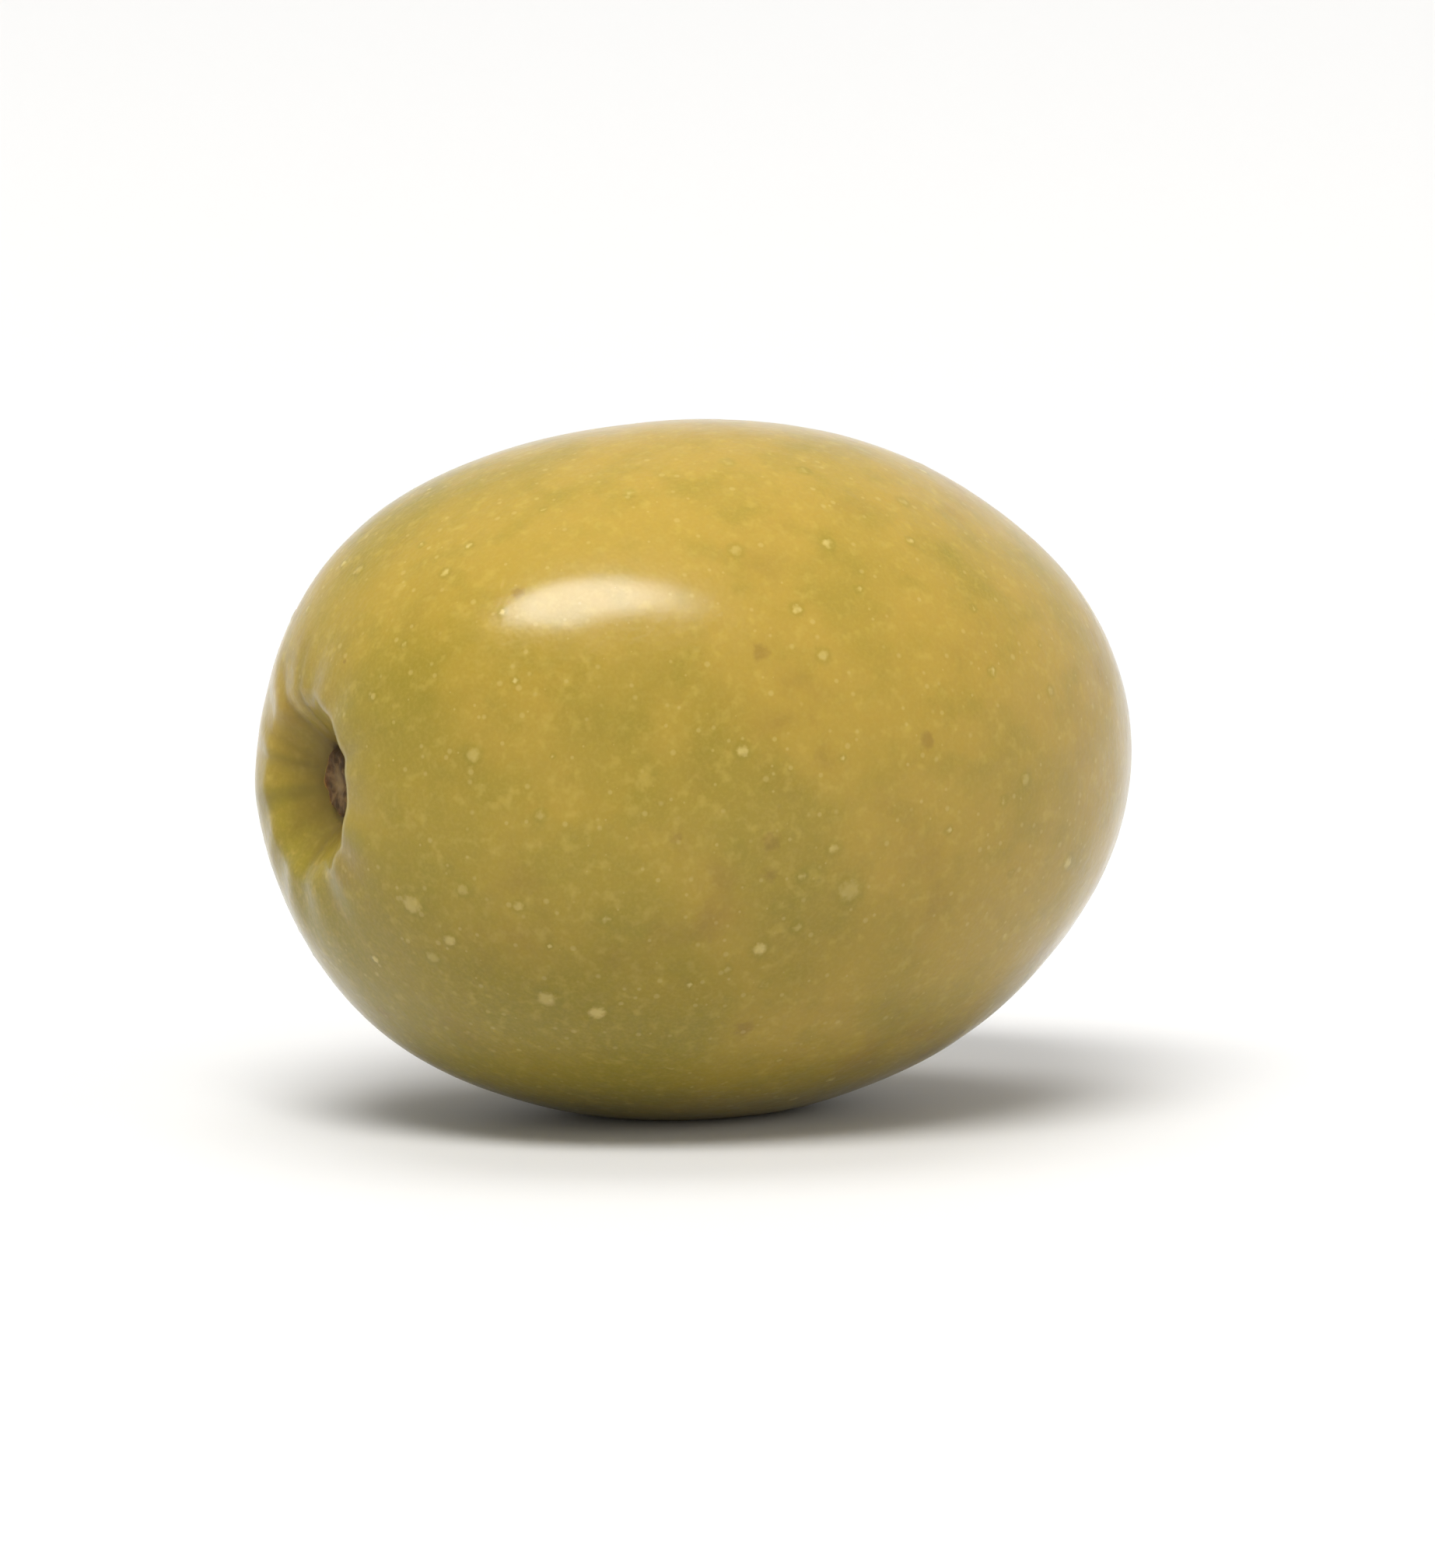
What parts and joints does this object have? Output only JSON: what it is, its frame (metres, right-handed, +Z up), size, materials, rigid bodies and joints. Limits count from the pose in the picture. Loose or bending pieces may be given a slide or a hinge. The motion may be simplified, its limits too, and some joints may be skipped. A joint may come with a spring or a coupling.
{
  "type": "olive",
  "caption": "Large whole green table olive with a hollow stem end and a slightly pointed apex, lying on a small flat spot of its belly.",
  "frame": {"origin": "under the middle of the fruit, on the plane of the flat spot that it rests on", "axes": "+X along the fruit from its stem end to its apex, +Z up as it lies"},
  "size_m": [0.0344, 0.0272, 0.0265],
  "materials": {
    "olive_skin": "satin"
  },
  "bodies": {
    "root": {"olive": "olive_skin"}
  },
  "joints": []
}
